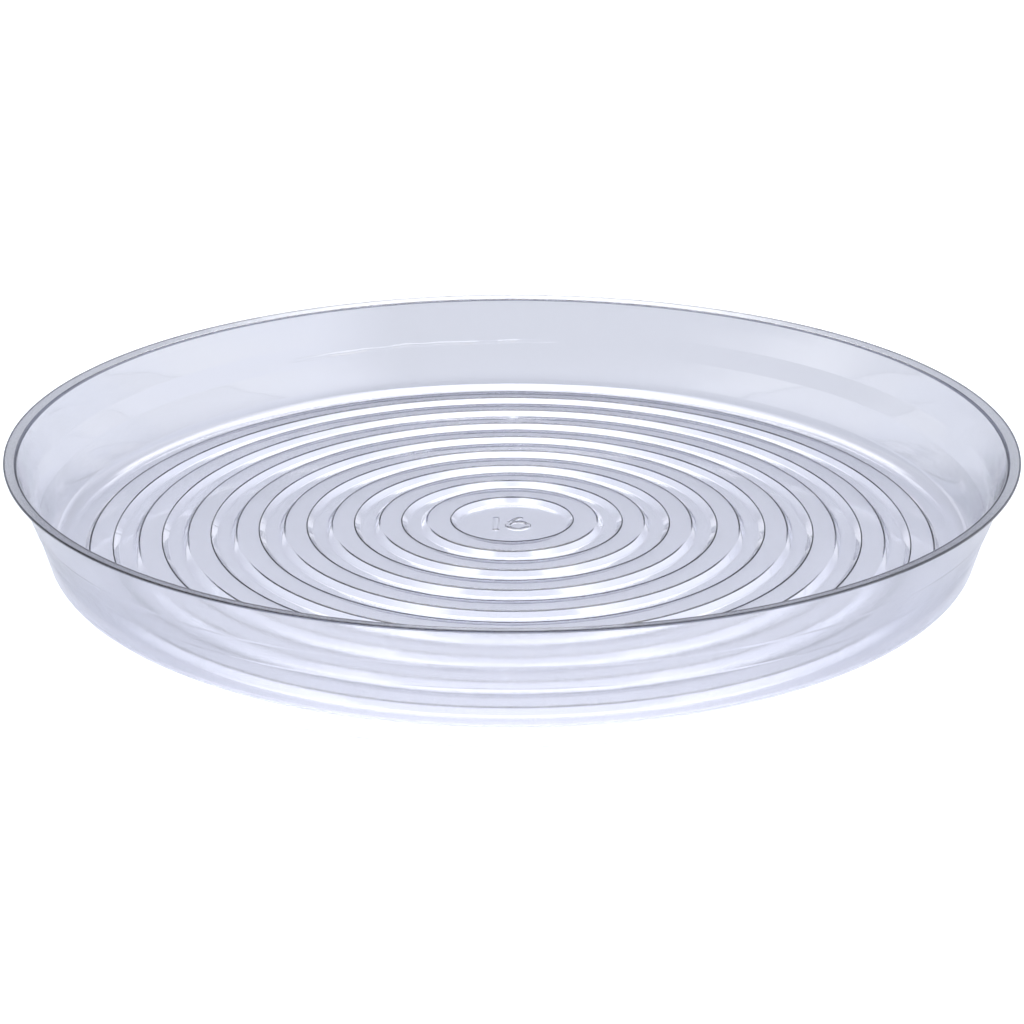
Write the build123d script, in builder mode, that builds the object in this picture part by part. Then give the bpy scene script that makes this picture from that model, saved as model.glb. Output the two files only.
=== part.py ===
from build123d import *
from math import atan2, cos, radians, sin, tan
import os

os.makedirs("parts", exist_ok=True)

# A clear plant saucer for a large pot. It is one sheet of plastic, warmed and drawn over a turned
# mould, so the pad, rings, grooves, wall and lip are all bends in the same sheet. Its inner face is
# drawn as half of a cross-section, from the centre out to the lip, thickened outwards and turned
# about the vertical axis. Z = 0 is the surface that the saucer stands on. Sizes are millimetres
# and angles are degrees.

# Sheet
sheet_thickness = 1.0
ring_edge_bend = 0.1         # inside radius of the bends along the edges of a ring's top
ring_foot_bend = 1.4         # inside radius where a ring's side meets the floor
ridge_bend = 6.0             # inside radius of the wall's own bends
foot_bend = 7.4              # inside radius where the floor turns up into the wall
lip_bend = 0.6               # inside radius where the wall turns out into the lip

# Lip, turned out and a little up
lip_diameter = 406.4         # 16 inches over the lip
saucer_height = 45.0
lip_width = 4.95
lip_rise = 1.1               # the trimmed edge stands this much above the fold
trim_radius = 0.25           # worn corners of the trimmed edge

# Wall, three bands that lean out from the vertical
lower_band_top = 19.4        # a ridge runs round the wall here
lower_band_lean = 13.6
shoulder_height = 9.0
shoulder_lean = 18.3
upper_band_lean = 13.5

# Floor, with flat-topped rings and the grooves between them
pad_radius = 25.4            # the low centre pad ends at the first ring's top
first_ring_radius = 35.65    # outer edge of the first ring's top
ring_top_width = 9.48        # flat top of each further ring
ring_pitch = 19.63
ring_height = 2.5
ring_side = 2.5              # how far a ring's side leans out from its top to its foot
least_channel = 4.5          # flat floor between the last ring and the bend of the wall

# Size mark on the pad: the plain number 16, for inches
mark_height = 14.8
mark_stroke = 1.8
mark_relief = 0.4
mark_digit_gap = 3.3         # clear gap between the two digits
six_bowl_radius = 4.1        # middle line of the bowl of the 6
six_back_radius = 10.6       # middle line of its long back

# The lip's edge is cut square to the sheet, so its upper corner is the highest and its lower one
# the furthest out. Both are worn back by the same small amount.
lip_tilt = atan2(lip_rise, lip_width)
trim_wear = trim_radius * (sin(lip_tilt) + cos(lip_tilt) - 1)

# Heights of the inner face
floor_z = sheet_thickness
ring_z = floor_z + ring_height
shoulder_z = lower_band_top + shoulder_height
edge_z = saucer_height + trim_wear
fold_z = edge_z - lip_rise

# Radii of the inner face, from the lip inwards
edge_radius = lip_diameter / 2 + trim_wear - sheet_thickness * sin(lip_tilt)
fold_radius = edge_radius - lip_width
shoulder_radius = fold_radius - (fold_z - shoulder_z) * tan(radians(upper_band_lean))
ridge_radius = shoulder_radius - shoulder_height * tan(radians(shoulder_lean))
foot_radius = ridge_radius - (lower_band_top - floor_z) * tan(radians(lower_band_lean))
channel_radius = foot_radius - foot_bend * tan(radians(90 - lower_band_lean) / 2)

# As many rings as the floor has room for
last_ring_limit = channel_radius - least_channel - ring_side
ring_count = 1 + int((last_ring_limit - first_ring_radius) / ring_pitch)

# Corners of the inner face, and the radius of its bend at each of them. Where the face is on the
# outside of a bend, its radius is larger by the sheet.
corners = []
bends = []


def add_corner(radius, height, bend, outside_of_bend=False):
    """One bend of the sheet, from the centre outwards."""
    corners.append((radius, height))
    bends.append(bend + sheet_thickness if outside_of_bend else bend)


def add_ring(inner_radius, outer_radius):
    """Up one side of a ring, across its flat top and down the other side."""
    add_corner(inner_radius - ring_side, floor_z, ring_foot_bend)
    add_corner(inner_radius, ring_z, ring_edge_bend, outside_of_bend=True)
    add_corner(outer_radius, ring_z, ring_edge_bend, outside_of_bend=True)
    add_corner(outer_radius + ring_side, floor_z, ring_foot_bend)


add_ring(pad_radius, first_ring_radius)
for ring in range(1, ring_count):
    ring_outer = first_ring_radius + ring * ring_pitch
    add_ring(ring_outer - ring_top_width, ring_outer)
add_corner(foot_radius, floor_z, foot_bend)
add_corner(ridge_radius, lower_band_top, ridge_bend, outside_of_bend=True)
add_corner(shoulder_radius, shoulder_z, ridge_bend)
add_corner(fold_radius, fold_z, lip_bend, outside_of_bend=True)

# Places of the two digits on the pad, centred together
six_width = 2 * six_bowl_radius + mark_stroke
mark_width = mark_stroke + mark_digit_gap + six_width
one_x = -mark_width / 2 + mark_stroke / 2
six_x = mark_width / 2 - six_width / 2
six_y = -mark_height / 2 + mark_stroke / 2 + six_bowl_radius
six_back_top = mark_height / 2 - mark_stroke / 2


def draw_size_mark(stroke):
    """The digits 1 and 6 as rounded strokes of one width, in the sketch that is open."""
    with Locations((one_x, 0)):
        SlotOverall(mark_height - mark_stroke + stroke, stroke, rotation=90)
    with Locations((six_x, six_y)):
        Circle(six_bowl_radius + stroke / 2)
        Circle(six_bowl_radius - stroke / 2, mode=Mode.SUBTRACT)
    back_centre = (six_x - six_bowl_radius + six_back_radius, six_y)
    back_turn = atan2(
        six_back_top - six_y,
        (six_back_radius**2 - (six_back_top - six_y) ** 2) ** 0.5,
    )
    back = CenterArc(back_centre, six_back_radius, 180, -back_turn / radians(1), mode=Mode.PRIVATE)
    SlotArc(back, stroke)


with BuildPart() as saucer:
    with BuildSketch(Plane.XZ) as section:
        with BuildLine():
            FilletPolyline((0, floor_z), *corners, (edge_radius, edge_z), radius=bends)
            offset(amount=sheet_thickness, side=Side.RIGHT)
        make_face()
        fillet(section.vertices().sort_by(Axis.X)[-2:], trim_radius)
    revolve(axis=Axis.Z)

    # The mark stands up on the pad, and the sheet is hollow behind it.
    with BuildSketch(Plane.XY.offset(floor_z)):
        draw_size_mark(mark_stroke)
    extrude(amount=mark_relief)
    with BuildSketch(Plane.XY):
        draw_size_mark(mark_stroke / 2)
    extrude(amount=mark_relief, mode=Mode.SUBTRACT)

saucer.part.label = "saucer"
export_step(saucer.part, "parts/saucer.step")

print(f"rings {ring_count}, base radius {channel_radius:.2f}, solids {len(saucer.part.solids())}")
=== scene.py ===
import math

import bpy
import numpy as np
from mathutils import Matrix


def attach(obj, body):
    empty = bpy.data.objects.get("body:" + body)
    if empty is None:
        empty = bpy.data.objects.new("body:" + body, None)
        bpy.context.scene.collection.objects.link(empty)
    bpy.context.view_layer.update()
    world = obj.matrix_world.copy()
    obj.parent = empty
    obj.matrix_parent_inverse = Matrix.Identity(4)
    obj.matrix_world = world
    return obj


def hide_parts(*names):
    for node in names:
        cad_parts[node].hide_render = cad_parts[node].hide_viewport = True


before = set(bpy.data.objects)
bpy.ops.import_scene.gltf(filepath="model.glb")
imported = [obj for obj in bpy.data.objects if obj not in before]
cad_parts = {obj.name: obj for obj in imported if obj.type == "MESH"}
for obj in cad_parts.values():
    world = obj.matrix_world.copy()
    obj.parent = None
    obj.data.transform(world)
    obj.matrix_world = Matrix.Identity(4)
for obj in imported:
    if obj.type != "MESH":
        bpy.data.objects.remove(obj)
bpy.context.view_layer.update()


# --- Saucer --------------------------------------------------------------------------------------
# The saucer is one sheet of clear PVC, 1 mm thick. It was warmed, drawn down over a turned mould and
# trimmed round, so its pad, rings, grooves, wall and lip are all bends in the same sheet, and the
# forming left it faintly uneven. Sizes are millimetres, and radii are those of its inner face.
MM = 0.001
SHEET = 1.0

LIP_DIAMETER = 406.4  # 16 inches over the lip
SAUCER_HEIGHT = 45.0
LIP_WIDTH = 4.95
LIP_RISE = 1.1
TRIM_RADIUS = 0.25

LOWER_BAND_TOP = 19.4
LOWER_BAND_LEAN = 13.6
SHOULDER_HEIGHT = 9.0
SHOULDER_LEAN = 18.3
UPPER_BAND_LEAN = 13.5

PAD_RADIUS = 25.4
FIRST_RING_RADIUS = 35.65
RING_TOP_WIDTH = 9.48
RING_PITCH = 19.63
RING_HEIGHT = 2.5
RING_SIDE = 2.5
RING_COUNT = 8

# Bends, on the inner and on the outer face. The ring edge nearer the centre is the crisper one.
INNER_EDGE_BEND = (0.3, 0.1)
OUTER_EDGE_BEND = (1.0, 0.3)
RING_FOOT_BEND = (1.4, 1.4 + SHEET)
FOOT_BEND = (7.4, 7.4 + SHEET)
RIDGE_BEND = (6.0 + SHEET, 6.0)
SHOULDER_BEND = (6.0, 6.0 + SHEET)
LIP_BEND = (0.6 + SHEET, 0.6)
# How many points of the section make up a bend
SLIGHT_BEND_POINTS, BEND_POINTS, FOOT_BEND_POINTS = 3, 4, 9

lip_tilt = math.atan2(LIP_RISE, LIP_WIDTH)
trim_wear = TRIM_RADIUS * (math.sin(lip_tilt) + math.cos(lip_tilt) - 1)
floor_z = SHEET
ring_z = floor_z + RING_HEIGHT
shoulder_z = LOWER_BAND_TOP + SHOULDER_HEIGHT
edge_z = SAUCER_HEIGHT + trim_wear
fold_z = edge_z - LIP_RISE
edge_radius = LIP_DIAMETER / 2 + trim_wear - SHEET * math.sin(lip_tilt)
fold_radius = edge_radius - LIP_WIDTH


def leant_in(radius, height, lean):
    """Radius at the foot of a band of wall that leans out by so many degrees."""
    return radius - height * math.tan(math.radians(lean))


shoulder_radius = leant_in(fold_radius, fold_z - shoulder_z, UPPER_BAND_LEAN)
ridge_radius = leant_in(shoulder_radius, SHOULDER_HEIGHT, SHOULDER_LEAN)
foot_radius = leant_in(ridge_radius, LOWER_BAND_TOP - floor_z, LOWER_BAND_LEAN)

# Corners of the inner face from the centre outwards: radius, height, bend, and points in the bend
corners = []
ring_edges = [(PAD_RADIUS, FIRST_RING_RADIUS)]
for ring in range(1, RING_COUNT):
    ring_outer = FIRST_RING_RADIUS + ring * RING_PITCH
    ring_edges.append((ring_outer - RING_TOP_WIDTH, ring_outer))
for ring_inner, ring_outer in ring_edges:
    corners.append((ring_inner - RING_SIDE, floor_z, RING_FOOT_BEND, BEND_POINTS))
    corners.append((ring_inner, ring_z, INNER_EDGE_BEND, SLIGHT_BEND_POINTS))
    corners.append((ring_outer, ring_z, OUTER_EDGE_BEND, BEND_POINTS))
    corners.append((ring_outer + RING_SIDE, floor_z, RING_FOOT_BEND, BEND_POINTS))
corners.append((foot_radius, floor_z, FOOT_BEND, FOOT_BEND_POINTS))
corners.append((ridge_radius, LOWER_BAND_TOP, RIDGE_BEND, SLIGHT_BEND_POINTS))
corners.append((shoulder_radius, shoulder_z, SHOULDER_BEND, SLIGHT_BEND_POINTS))
corners.append((fold_radius, fold_z, LIP_BEND, BEND_POINTS))

# How close the rows of the mesh stand: finest on the pad's size mark and at the wall's draw line
FLAT_STEP = 5.0
WALL_STEP = 1.9
WALL_STARTS = 180.0
PAD_FINE_RADIUS = 12.4
PAD_FINE_STEP = 0.4
DRAW_LINE_LOW, DRAW_LINE_HIGH = 18.6, 26.0
DRAW_LINE_STEP = 0.3
LEAST_RUN = 1e-6  # a straight part with less than this to go has ended


def turned(v):
    """A direction turned a quarter to the left: the side of the inner face."""
    return np.array((-v[1], v[0]))


def heading(a, b):
    """The direction from a to b, of length 1."""
    return (b - a) / np.hypot(*(b - a))


def face_profile(depth):
    """Rows of the face that lies this deep in the sheet, 0 for the inner one and SHEET for the
    outer one: radius, height, normal r, normal z, the normal always on the inner face's side."""
    line = [np.array((0.0, floor_z))] + [np.array(c[:2]) for c in corners]
    line.append(np.array((edge_radius, edge_z)))
    sides = [turned(heading(a, b)) for a, b in zip(line[:-1], line[1:])]
    sunk = [line[0] - sides[0] * depth]
    for point, before, after in zip(line[1:-1], sides[:-1], sides[1:]):
        sunk.append(point - (before + after) / (1 + before @ after) * depth)
    sunk.append(line[-1] - sides[-1] * depth - heading(line[-2], line[-1]) * TRIM_RADIUS)
    rows = []

    def run(a, b):
        """The straight part between two bends."""
        along = heading(a, b)
        length = np.hypot(*(b - a))
        on_wall = a[0] > WALL_STARTS
        steep = along[1] > abs(along[0])
        stop = 0.0
        while stop < length - LEAST_RUN:
            radius, height = a + along * stop
            rows.append((radius, height, *turned(along)))
            step = WALL_STEP if on_wall and steep else FLAT_STEP
            if depth == 0 and on_wall and DRAW_LINE_LOW < height < DRAW_LINE_HIGH:
                step = DRAW_LINE_STEP
            if radius < PAD_FINE_RADIUS:
                step = PAD_FINE_STEP
            stop += step

    here = sunk[0] + np.array((PAD_FINE_STEP, 0))
    for i, (radius, height, bends, points) in enumerate(corners):
        bend = bends[0] if depth == 0 else bends[1]
        point, ahead = sunk[i + 1], heading(sunk[i + 1], sunk[i + 2])
        back = heading(sunk[i + 1], here)
        half = math.acos(max(-1.0, min(1.0, float(back @ ahead)))) / 2
        start = point + back * bend / math.tan(half)
        end = point + ahead * bend / math.tan(half)
        middle = point + heading(np.zeros(2), back + ahead) * bend / math.sin(half)
        run(here, start)
        first = math.atan2(*(start - middle)[::-1])
        last = math.atan2(*(end - middle)[::-1])
        turn = (last - first + math.pi) % (2 * math.pi) - math.pi
        facing = 1 if turn < 0 else -1
        for k in range(points - 1):
            angle = first + turn * k / (points - 1)
            radial = np.array((math.cos(angle), math.sin(angle)))
            rows.append((*(middle + bend * radial), *(facing * radial)))
        here = end
    run(here, sunk[-1])
    rows.append((*sunk[-1], *sides[-1]))
    return np.array(rows)


SEGMENTS = 224
segment_turn = 2 * math.pi / SEGMENTS
angles = np.arange(SEGMENTS) * segment_turn

# The size mark on the pad, the plain number 16, for inches. The sheet stands up in it.
MARK_HEIGHT = 14.8
MARK_STROKE = 1.8
MARK_RELIEF = 0.4
MARK_CREST, MARK_FOOT = 0.4, 1.4  # flat and foot of a stroke, from its middle line
MARK_DIGIT_GAP = 3.3
SIX_BOWL_RADIUS = 4.1
SIX_BACK_RADIUS = 10.6

six_width = 2 * SIX_BOWL_RADIUS + MARK_STROKE
mark_width = MARK_STROKE + MARK_DIGIT_GAP + six_width
one_x = -mark_width / 2 + MARK_STROKE / 2
six_x = mark_width / 2 - six_width / 2
six_y = -MARK_HEIGHT / 2 + MARK_STROKE / 2 + SIX_BOWL_RADIUS
six_top = MARK_HEIGHT / 2 - MARK_STROKE / 2


def mark_distance(x, y):
    """Distance from the middle line of the nearest stroke of the mark."""
    one = np.hypot(x - one_x, y - np.clip(y, -six_top, six_top))
    bowl = np.abs(np.hypot(x - six_x, y - six_y) - SIX_BOWL_RADIUS)
    back_x = six_x - SIX_BOWL_RADIUS + SIX_BACK_RADIUS
    top_turn = math.asin((six_top - six_y) / SIX_BACK_RADIUS)
    turn = np.clip(np.pi - np.arctan2(y - six_y, x - back_x) % (2 * np.pi), 0, top_turn)
    arc_x = back_x - SIX_BACK_RADIUS * np.cos(turn)
    arc_y = six_y + SIX_BACK_RADIUS * np.sin(turn)
    return np.minimum(one, np.minimum(bowl, np.hypot(x - arc_x, y - arc_y)))


def smooth(low, high, value):
    """0 below low and 1 above high, with a soft step between them."""
    t = np.clip((value - low) / (high - low), 0, 1)
    return t * t * (3 - 2 * t)


# Unevenness left by the forming: long waves in the floor, shorter ones drawn out up the wall
FLOOR_WAVE = 0.05
FLOOR_WAVE_COUNT = 26
FLOOR_WAVE_LENGTHS = (14, 55)
WALL_WAVE = 0.06
WALL_WAVE_COUNT = 24
WALL_WAVES_ROUND = (3, 42)  # how often one wave repeats round the wall
WALL_WAVE_HEIGHTS = (9, 30)  # height over which a wave leans by up to one of its lengths
LINE_WAVE_COUNT = 9
LINE_WAVES_ROUND = (9, 90)
WAVE_BLEND = 6.0  # how far before the foot, and below the lip, the waves start to fade
WAVE_BLEND_PAST_FOOT = 2  # the wall's waves are full this far past the foot
WAVE_SEED = 16
rng = np.random.default_rng(WAVE_SEED)
floor_waves = [
    (*rng.uniform(0, 2 * np.pi, 2), rng.uniform(*FLOOR_WAVE_LENGTHS))
    for k in range(FLOOR_WAVE_COUNT)
]
wall_waves = [
    (
        rng.integers(*WALL_WAVES_ROUND),
        rng.uniform(0, 2 * np.pi),
        rng.uniform(-1, 1) / rng.uniform(*WALL_WAVE_HEIGHTS),
    )
    for k in range(WALL_WAVE_COUNT)
]
line_waves = [
    (rng.integers(*LINE_WAVES_ROUND), rng.uniform(0, 2 * np.pi)) for k in range(LINE_WAVE_COUNT)
]
FLOOR_WAVE_SUM, WALL_WAVE_SUM = 360, 5  # about what the waves add up to at their highest


def forming_lift(radius, height, around):
    """How far the formed sheet stands in from the mould, never below it."""
    x, y = radius * np.cos(around), radius * np.sin(around)
    on_wall = smooth(foot_radius - WAVE_BLEND, foot_radius + WAVE_BLEND_PAST_FOOT, radius)
    below_lip = 1 - smooth(fold_z - WAVE_BLEND, fold_z, height) * on_wall
    floor_sum = sum(
        length * np.sin(2 * np.pi * (x * np.cos(way) + y * np.sin(way)) / length + phase)
        for way, phase, length in floor_waves
    )
    wall_sum = sum(
        np.sin(around * count + phase + 2 * np.pi * height * rise) / count**0.5
        for count, phase, rise in wall_waves
    )
    lift = FLOOR_WAVE * (1 + np.clip(floor_sum / FLOOR_WAVE_SUM, -1, 1)) * (1 - on_wall)
    lift += WALL_WAVE * (1 + np.clip(wall_sum / WALL_WAVE_SUM, -1, 1)) * on_wall * below_lip
    return lift + MARK_RELIEF * (1 - smooth(MARK_CREST, MARK_FOOT, mark_distance(x, y)))


# A fine raised line runs round the far side of the wall, where the sheet first chilled on the
# mould. It wanders up and down, fades in places and is broader for a short way.
LINE_HEIGHT = 0.65
LINE_MIDDLE = 21.7
LINE_CLIMB, LINE_CLIMB_AT = 1.9, math.radians(80)
LINE_WANDER = 0.08
LINE_WIDTH, LINE_BROADER = 0.6, 0.5
LINE_BROAD_AT, LINE_BROAD_SPAN = math.radians(132), 0.16
LINE_STRENGTH, LINE_FADING = 0.82, 0.14
LINE_FADE_SHIFT = 31  # places round, so that the line doesn't fade where it wanders
# Places round where the line has faded out and where it is whole, at its right and left ends
LINE_RIGHT = np.radians((80, 92))
LINE_LEFT = np.radians((138, 118))


def draw_line(radius, height, around):
    """How far the fine line stands in from the wall."""
    wander = sum(np.sin(n * around + phase) for n, phase in line_waves)
    middle = LINE_MIDDLE + LINE_CLIMB * np.cos(around - LINE_CLIMB_AT) + LINE_WANDER * wander
    wide = LINE_WIDTH + LINE_BROADER * np.exp(-(((around - LINE_BROAD_AT) / LINE_BROAD_SPAN) ** 2))
    fading = LINE_FADING * np.roll(wander, LINE_FADE_SHIFT, 1)
    strength = np.clip(LINE_STRENGTH + fading, 0, 1)
    strength = strength * smooth(*LINE_RIGHT, around) * smooth(*LINE_LEFT, around)
    crest = np.exp(-(((height - middle) / wide) ** 2))
    return LINE_HEIGHT * strength * crest * (radius > WALL_STARTS)


def formed_face(depth):
    """Points and normals of one face of the sheet, as arrays of row, place round and x, y, z."""
    rows = face_profile(depth)
    radius, height, normal_r, normal_z = (c[:, None] + 0 * angles for c in rows.T)
    around = 0 * radius + angles
    along = np.concatenate([[0], np.cumsum(np.hypot(*np.diff(rows[:, :2], axis=0).T))])
    lift = forming_lift(radius, height, around)
    if depth == 0:
        lift = lift + draw_line(radius, height, around)
    slope_along = np.gradient(lift, along, axis=0)
    slope_round = (np.roll(lift, -1, 1) - np.roll(lift, 1, 1)) / (2 * segment_turn) / radius
    r, z = radius + normal_r * lift, height + normal_z * lift
    points = np.stack([r * np.cos(around), r * np.sin(around), z], -1)
    lean_r = normal_r - slope_along * normal_z
    lean_z = normal_z + slope_along * normal_r
    normal_x = lean_r * np.cos(around) + slope_round * np.sin(around)
    normal_y = lean_r * np.sin(around) - slope_round * np.cos(around)
    normals = np.stack([normal_x, normal_y, lean_z], -1)
    return points, normals / np.linalg.norm(normals, axis=-1, keepdims=True)


def swept(r, z):
    """One point of the section, or one direction, carried round the axis."""
    return np.stack([r * np.cos(angles), r * np.sin(angles), z + 0 * angles], -1)


inner_points, inner_normals = formed_face(0.0)
outer_points, outer_normals = formed_face(SHEET)

# The trimmed edge, square to the sheet, with worn corners: two rows in each
CORNER_TURNS = np.radians((60, 20))
tilt_out = np.array((math.cos(lip_tilt), math.sin(lip_tilt)))
tilt_up = turned(tilt_out)
edge_points, edge_normals = [], []
for depth, turns in ((TRIM_RADIUS, CORNER_TURNS), (SHEET - TRIM_RADIUS, -CORNER_TURNS[::-1])):
    centre = np.array((edge_radius, edge_z)) - tilt_out * TRIM_RADIUS - tilt_up * depth
    for turn in turns:
        out = tilt_out * math.cos(turn) + tilt_up * math.sin(turn)
        edge_points.append(swept(*(centre + out * TRIM_RADIUS)))
        edge_normals.append(swept(*out))

rows = list(inner_points) + edge_points + list(outer_points[::-1])
row_normals = list(inner_normals) + edge_normals + list(-outer_normals[::-1])
centre_lift = forming_lift(np.array([[0.0]]), np.array([[floor_z]]), np.array([[0.0]]))[0, 0]
centres = [[0, 0, floor_z + centre_lift], [0, 0, centre_lift]]
vertices = np.concatenate(rows + [centres])
vertex_normals = np.concatenate(row_normals + [[[0, 0, 1.0], [0, 0, -1.0]]])
top_centre, bottom_centre = len(vertices) - 2, len(vertices) - 1
last_row = (len(rows) - 1) * SEGMENTS
faces = []
for start in range(0, last_row, SEGMENTS):
    for j in range(SEGMENTS):
        k = (j + 1) % SEGMENTS
        faces.append((start + j, start + SEGMENTS + j, start + SEGMENTS + k, start + k))
for j in range(SEGMENTS):
    k = (j + 1) % SEGMENTS
    faces.append((top_centre, j, k))
    faces.append((bottom_centre, last_row + k, last_row + j))

mesh = bpy.data.meshes.new("saucer_sheet")
mesh.from_pydata((vertices * MM).tolist(), [], faces)
mesh.polygons.foreach_set("use_smooth", [True] * len(mesh.polygons))
mesh.normals_split_custom_set_from_vertices(vertex_normals.tolist())
mesh.update()
saucer = bpy.data.objects.new("saucer_sheet", mesh)
bpy.context.scene.collection.objects.link(saucer)


def linear(hex_colour):
    """An sRGB hex colour as linear red, green, blue and alpha."""
    channels = [int(hex_colour[i : i + 2], 16) / 255 for i in (1, 3, 5)]
    return (*[c / 12.92 if c <= 0.04045 else ((c + 0.055) / 1.055) ** 2.4 for c in channels], 1.0)


def add_node(tree, kind, inputs=(), **settings):
    """A node with its settings, and its inputs as values or as the sockets that feed them."""
    node = tree.nodes.new(kind)
    for name, value in settings.items():
        setattr(node, name, value)
    for key, value in dict(inputs).items():
        if isinstance(value, bpy.types.NodeSocket):
            tree.links.new(value, node.inputs[key])
        else:
            node.inputs[key].default_value = value
    return node


def soft_step(tree, value, low, high, top=1.0):
    """0 at low and top at high, smoothly between them. Low may be the larger of the two."""
    ends = {"Value": value, "From Min": low, "From Max": high, "To Max": top}
    return add_node(tree, "ShaderNodeMapRange", ends, interpolation_type="SMOOTHSTEP").outputs[0]


def combined(tree, a, b, operation="MULTIPLY"):
    return add_node(tree, "ShaderNodeMath", {0: a, 1: b}, operation=operation).outputs[0]


# Clear PVC, calendered to a gloss and thermoformed: it mirrors the lamps sharply, turns lavender
# grey and dark along its edges, where the eye looks through more of it, and is a little less
# polished in patches and where the wall was drawn. Dark lines of painted shade run round its lip.
PVC_IOR = 1.53
PVC_CLEAR, PVC_PAINTED_SHADE_COLOUR = "#FAFAFC", "#40455C"
PVC_DEPTH_COLOUR, PVC_DEPTH_DENSITY = "#98A2C4", 120.0
PVC_SHADE = "#FBFBFD"
GLOSS_LOW, GLOSS_HIGH = 0.01, 0.05
HAZE_PATCH = 30.0
HAZE_DETAIL, HAZE_ROUGHNESS = 4.0, 0.6
HAZE_LOW, HAZE_HIGH = 0.3, 0.7  # the noise goes from clear to hazy between these
RIPPLE_LENGTH, RIPPLE_DEPTH = 11.0, 0.06
RIPPLE_DETAIL, RIPPLE_ROUGHNESS = 2.0, 0.5
WALL_HAZE = 0.05
WALL_HAZE_FROM, WALL_HAZE_TO = 6.0, 12.0
COAT_ROUGHNESS = 0.02

# Painted shade: dark lines round the lip, where it folds out of the wall, at its rim and on its cut
# edge
FOLD_LINE_IN, FOLD_LINE_OUT = 197.1, 199.1
FOLD_LINE_DRIFT = 0.003  # the line lies further out at the front of the saucer
FOLD_LINE_LOW, FOLD_LINE_HIGH = 43.0, 43.3
RIM_LINE_IN, CUT_EDGE_IN = 202.5, 203.0
# How dark the painted shade is on each line
FOLD_PAINTED_SHADE, RIM_PAINTED_SHADE, CUT_PAINTED_SHADE = 0.93, 0.72, 0.8
LINE_SOFT, RIM_SOFT, CUT_SOFT = 0.3, 0.15, 0.05

pvc_material = bpy.data.materials.new("clear_calendered_pvc")
pvc_material.use_nodes = True
tree = pvc_material.node_tree
tree.nodes.clear()
place = add_node(tree, "ShaderNodeTexCoord").outputs["Object"]
apart = add_node(tree, "ShaderNodeSeparateXYZ", {0: place})
up = apart.outputs["Z"]
flat_place = add_node(tree, "ShaderNodeVectorMath", {0: place, 1: (1, 1, 0)}, operation="MULTIPLY")
from_axis = add_node(
    tree, "ShaderNodeVectorMath", {0: flat_place.outputs[0]}, operation="LENGTH"
).outputs["Value"]

haze = add_node(
    tree,
    "ShaderNodeTexNoise",
    {
        "Vector": place,
        "Scale": 1 / (HAZE_PATCH * MM),
        "Detail": HAZE_DETAIL,
        "Roughness": HAZE_ROUGHNESS,
    },
)
patches = add_node(
    tree,
    "ShaderNodeMapRange",
    {
        "Value": haze.outputs["Fac"],
        "From Min": HAZE_LOW,
        "From Max": HAZE_HIGH,
        "To Min": GLOSS_LOW,
        "To Max": GLOSS_HIGH,
    },
)
drawn = add_node(
    tree,
    "ShaderNodeMapRange",
    {
        "Value": up,
        "From Min": WALL_HAZE_FROM * MM,
        "From Max": WALL_HAZE_TO * MM,
        "To Max": WALL_HAZE,
    },
)
roughness = combined(tree, patches.outputs[0], drawn.outputs[0], "ADD")
ripple = add_node(
    tree,
    "ShaderNodeTexNoise",
    {
        "Vector": place,
        "Scale": 1 / (RIPPLE_LENGTH * MM),
        "Detail": RIPPLE_DETAIL,
        "Roughness": RIPPLE_ROUGHNESS,
    },
)
bump = add_node(
    tree,
    "ShaderNodeBump",
    {"Height": ripple.outputs["Fac"], "Strength": 1.0, "Distance": RIPPLE_DEPTH * MM},
)

from_fold = combined(
    tree, from_axis, combined(tree, apart.outputs["Y"], FOLD_LINE_DRIFT), "ADD"
)
past_fold = soft_step(tree, from_fold, FOLD_LINE_IN * MM, (FOLD_LINE_IN + LINE_SOFT) * MM)
fold_painted_shade = soft_step(
    tree, from_fold, FOLD_LINE_OUT * MM, (FOLD_LINE_OUT - LINE_SOFT) * MM, FOLD_PAINTED_SHADE
)
fold_painted_shade = combined(tree, past_fold, fold_painted_shade)
fold_top = soft_step(tree, up, FOLD_LINE_LOW * MM, FOLD_LINE_HIGH * MM)
fold_painted_shade = combined(tree, fold_painted_shade, fold_top)
rim_painted_shade = soft_step(
    tree, from_axis, (RIM_LINE_IN - RIM_SOFT) * MM, (RIM_LINE_IN + RIM_SOFT) * MM, RIM_PAINTED_SHADE
)
cut_edge_painted_shade = soft_step(
    tree, from_axis, (CUT_EDGE_IN - CUT_SOFT) * MM, (CUT_EDGE_IN + CUT_SOFT) * MM, CUT_PAINTED_SHADE
)
painted_shade_lines = combined(tree, rim_painted_shade, cut_edge_painted_shade, "MAXIMUM")
painted_shade_lines = combined(tree, fold_painted_shade, painted_shade_lines, "MAXIMUM")
# Painted shade: the dark lines are mixed into the sheet's base colour
colours = {0: painted_shade_lines, 6: linear(PVC_CLEAR), 7: linear(PVC_PAINTED_SHADE_COLOUR)}
clear_and_painted_shade = add_node(tree, "ShaderNodeMix", colours, data_type="RGBA").outputs[2]

pvc = add_node(
    tree,
    "ShaderNodeBsdfPrincipled",
    {
        "Base Color": clear_and_painted_shade,
        "Roughness": roughness,
        "IOR": PVC_IOR,
        "Transmission Weight": 1.0,
        "Coat Weight": 1.0,
        "Coat Roughness": COAT_ROUGHNESS,
        "Normal": bump.outputs["Normal"],
    },
)
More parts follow.
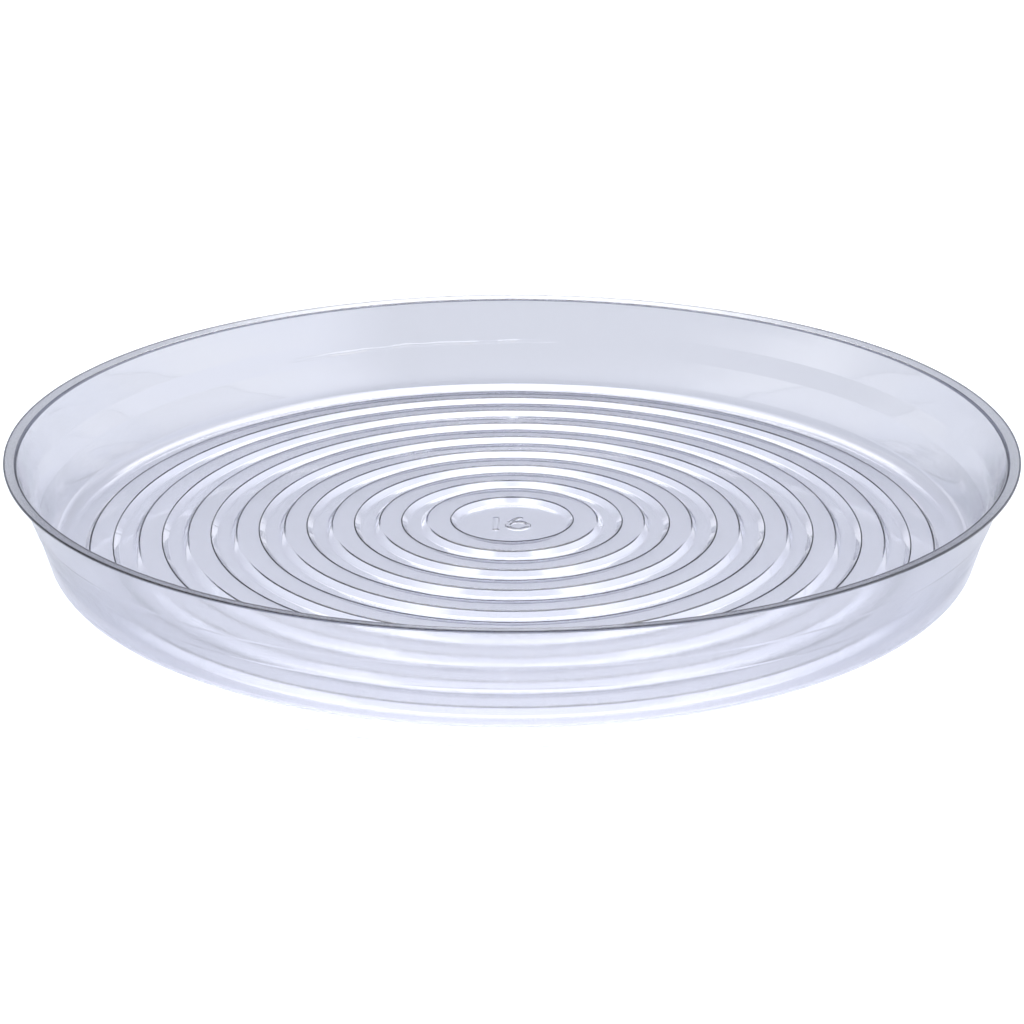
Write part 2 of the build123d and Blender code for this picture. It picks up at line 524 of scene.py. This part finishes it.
# Light passes straight through the sheet to whatever stands under it
let_through = add_node(tree, "ShaderNodeBsdfTransparent", {"Color": linear(PVC_SHADE)})
shadow_ray = add_node(tree, "ShaderNodeLightPath").outputs["Is Shadow Ray"]
surface = add_node(
    tree, "ShaderNodeMixShader", {0: shadow_ray, 1: pvc.outputs[0], 2: let_through.outputs[0]}
)
depth_colour = {"Color": linear(PVC_DEPTH_COLOUR), "Density": PVC_DEPTH_DENSITY}
body = add_node(tree, "ShaderNodeVolumeAbsorption", depth_colour)
outputs = {"Surface": surface.outputs[0], "Volume": body.outputs[0]}
add_node(tree, "ShaderNodeOutputMaterial", outputs)
mesh.materials.append(pvc_material)

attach(saucer, "root")
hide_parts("saucer")


# --- Floor ---------------------------------------------------------------------------------------
# A wide sheet of matt pale card lies under the saucer, with a round, slightly paler one on top of
# it. The camera sees both as white, through a glow that is added to the light and shadow on them.
# Sizes are metres.
CARD_HALF = 6.0
CARD_DROP, DISC_DROP = 0.0004, 0.0002  # just under the saucer, so that no faces meet
DISC_RADIUS = 0.195
CARD_COLOUR, DISC_COLOUR = "#DADDE4", "#E1E3E8"
CAMERA_GLOW = 0.6  # with the light that falls on a card, this makes white
MIRROR_GLOW = 0.02  # what the saucer mirrors and lets through, beside the cards' own light
# Painted light: a glow on the front part of each card, which only the saucer sees, mirrored in it
# and through it
CARD_PAINTED_FRONT_LIGHT, DISC_PAINTED_FRONT_LIGHT = 0.95, 0.4
FRONT_STARTS, FRONT_FULL = -0.12, -0.24  # where the painted light on the front part starts and is full, along Y


def matt_card(name, colour, painted_front_light):
    """Matt card that the camera sees as white. The saucer also sees its front part brighter, by
    painted light.
    """
    material = bpy.data.materials.new(name)
    material.use_nodes = True
    tree = material.node_tree
    tree.nodes.clear()
    matt = add_node(tree, "ShaderNodeBsdfDiffuse", {"Color": linear(colour)})
    path = add_node(tree, "ShaderNodeLightPath")
    place = add_node(tree, "ShaderNodeTexCoord").outputs["Object"]
    apart = add_node(tree, "ShaderNodeSeparateXYZ", {0: place})
    front = soft_step(tree, apart.outputs["Y"], FRONT_STARTS, FRONT_FULL, painted_front_light)
    through = combined(
        tree, path.outputs["Is Glossy Ray"], path.outputs["Is Transmission Ray"], "MAXIMUM"
    )
    through = combined(tree, through, combined(tree, front, MIRROR_GLOW, "ADD"))
    direct = combined(tree, path.outputs["Is Camera Ray"], CAMERA_GLOW)
    glow = combined(tree, through, direct, "MAXIMUM")
    fill = add_node(tree, "ShaderNodeEmission", {"Strength": glow})
    both = add_node(tree, "ShaderNodeAddShader", {0: matt.outputs[0], 1: fill.outputs[0]})
    add_node(tree, "ShaderNodeOutputMaterial", {"Surface": both.outputs[0]})
    return material


def lay_card(name, outline, drop, material):
    """One flat face with this outline, laid this far under the saucer."""
    mesh = bpy.data.meshes.new(name)
    mesh.from_pydata([(x, y, 0) for x, y in outline], [], [range(len(outline))])
    mesh.materials.append(material)
    card = bpy.data.objects.new(name, mesh)
    card.location.z = -drop
    bpy.context.scene.collection.objects.link(card)


square = [(CARD_HALF * x, CARD_HALF * y) for x, y in ((-1, -1), (1, -1), (1, 1), (-1, 1))]
lay_card("floor", square, CARD_DROP, matt_card("matt_pale_card", CARD_COLOUR, CARD_PAINTED_FRONT_LIGHT))
disc = [(DISC_RADIUS * math.cos(a), DISC_RADIUS * math.sin(a)) for a in angles]
lay_card("floor_disc", disc, DISC_DROP, matt_card("matt_white_card", DISC_COLOUR, DISC_PAINTED_FRONT_LIGHT))


# --- Light ---------------------------------------------------------------------------------------
# A wide softbox hangs over the saucer and reaches back behind it, in a dim pale room with a soft
# fill on either side. The camera sees white all round, and the saucer sees that white low down
# only. Heights are those of a direction, from 0 for level to 1 for straight up.
ROOM_COLOUR, ROOM_LEVEL = "#E4E6F2", 0.24
BOX_LEVEL = 3.2
BOX_FRONT, BOX_BACK = 70.0, 142.0  # degrees up from the front
BOX_FRONT_SOFT, BOX_BACK_SOFT = 0.03, 0.2
BOX_SIDE_IN, BOX_SIDE_OUT = 0.2, 0.95
LEFT_LEVEL, RIGHT_LEVEL = 0.3, 1.1
FILL_STARTS, FILL_FULL = 0.45, 0.85
HORIZON = (0.02, 0.1)  # the softbox is gone at the first height and whole at the second
WHITE_BELOW, WHITE_FULL = 0.17, 0.08  # the white starts under the first and is full at the second
WHITE_FRONT, WHITE_BEHIND = -0.1, 0.3  # how far round to the back the mirrored white reaches
LEAST_HEIGHT = 0.001  # used for what is level or lower, so that nothing is divided by zero

world = bpy.data.worlds.new("studio")
world.use_nodes = True
bpy.context.scene.world = world
tree = world.node_tree
tree.nodes.clear()
way = add_node(tree, "ShaderNodeTexCoord").outputs["Generated"]
direction = add_node(tree, "ShaderNodeSeparateXYZ", {0: way}).outputs
above = combined(tree, direction["Z"], LEAST_HEIGHT, "MAXIMUM")
along_y = combined(tree, direction["Y"], above, "DIVIDE")
along_x = combined(tree, direction["X"], above, "DIVIDE")
aside = combined(tree, along_x, 0.0, "ABSOLUTE")


def overhead(angle):
    """Distance along Y, for a height of 1, at an angle measured up from the front."""
    return -1 / math.tan(math.radians(angle))


def plain_light(colour, level):
    return add_node(
        tree, "ShaderNodeBackground", {"Color": linear(colour), "Strength": level}
    ).outputs[0]


def changed_to(light, other, share):
    return add_node(tree, "ShaderNodeMixShader", {0: share, 1: light, 2: other}).outputs[0]


box_front, box_back = overhead(BOX_FRONT), overhead(BOX_BACK)
in_box = combined(
    tree,
    soft_step(tree, along_y, box_front - BOX_FRONT_SOFT, box_front + BOX_FRONT_SOFT),
    soft_step(tree, along_y, box_back + BOX_BACK_SOFT, box_back - BOX_BACK_SOFT),
)
in_box = combined(tree, in_box, soft_step(tree, aside, BOX_SIDE_OUT, BOX_SIDE_IN))
in_box = combined(tree, in_box, soft_step(tree, direction["Z"], *HORIZON))
at_left = soft_step(tree, direction["X"], -FILL_STARTS, -FILL_FULL)
at_right = soft_step(tree, direction["X"], FILL_STARTS, FILL_FULL)

light = plain_light(ROOM_COLOUR, ROOM_LEVEL)
light = changed_to(light, plain_light(ROOM_COLOUR, LEFT_LEVEL), at_left)
light = changed_to(light, plain_light(ROOM_COLOUR, RIGHT_LEVEL), at_right)
light = changed_to(light, plain_light("#FFFFFF", BOX_LEVEL), in_box)

path = add_node(tree, "ShaderNodeLightPath").outputs
front_half = soft_step(tree, direction["Y"], WHITE_BEHIND, WHITE_FRONT)
white = combined(tree, path["Is Glossy Ray"], front_half)
white = combined(tree, path["Is Transmission Ray"], white, "MAXIMUM")
white = combined(tree, white, soft_step(tree, direction["Z"], WHITE_BELOW, WHITE_FULL))
white = combined(tree, white, path["Is Camera Ray"], "MAXIMUM")
light = changed_to(light, plain_light("#FFFFFF", 1.0), white)
add_node(tree, "ShaderNodeOutputWorld", {"Surface": light})


# --- Camera --------------------------------------------------------------------------------------
# It stands in front of the saucer, a little above it, and looks down on it. Metres and degrees.
CAMERA_PLACE = (0, -0.7739, 0.3074)
CAMERA_PITCH = 21.266
LENS, SENSOR_WIDTH = 70.0, 36.0
NEAREST = 0.01

camera_data = bpy.data.cameras.new("camera")
camera_data.lens = LENS
camera_data.sensor_width = SENSOR_WIDTH
camera_data.clip_start = NEAREST
camera = bpy.data.objects.new("camera", camera_data)
camera.location = CAMERA_PLACE
camera.rotation_euler = (math.radians(90 - CAMERA_PITCH), 0, 0)
scene = bpy.context.scene
scene.collection.objects.link(camera)
scene.camera = camera
scene.view_settings.view_transform = "Standard"

# Light that is caught in the sheet is turned back at its faces many times before it leaves
SHEET_BOUNCES, MIRROR_BOUNCES = 32, 16
scene.cycles.max_bounces = SHEET_BOUNCES
scene.cycles.transmission_bounces = SHEET_BOUNCES
scene.cycles.glossy_bounces = MIRROR_BOUNCES
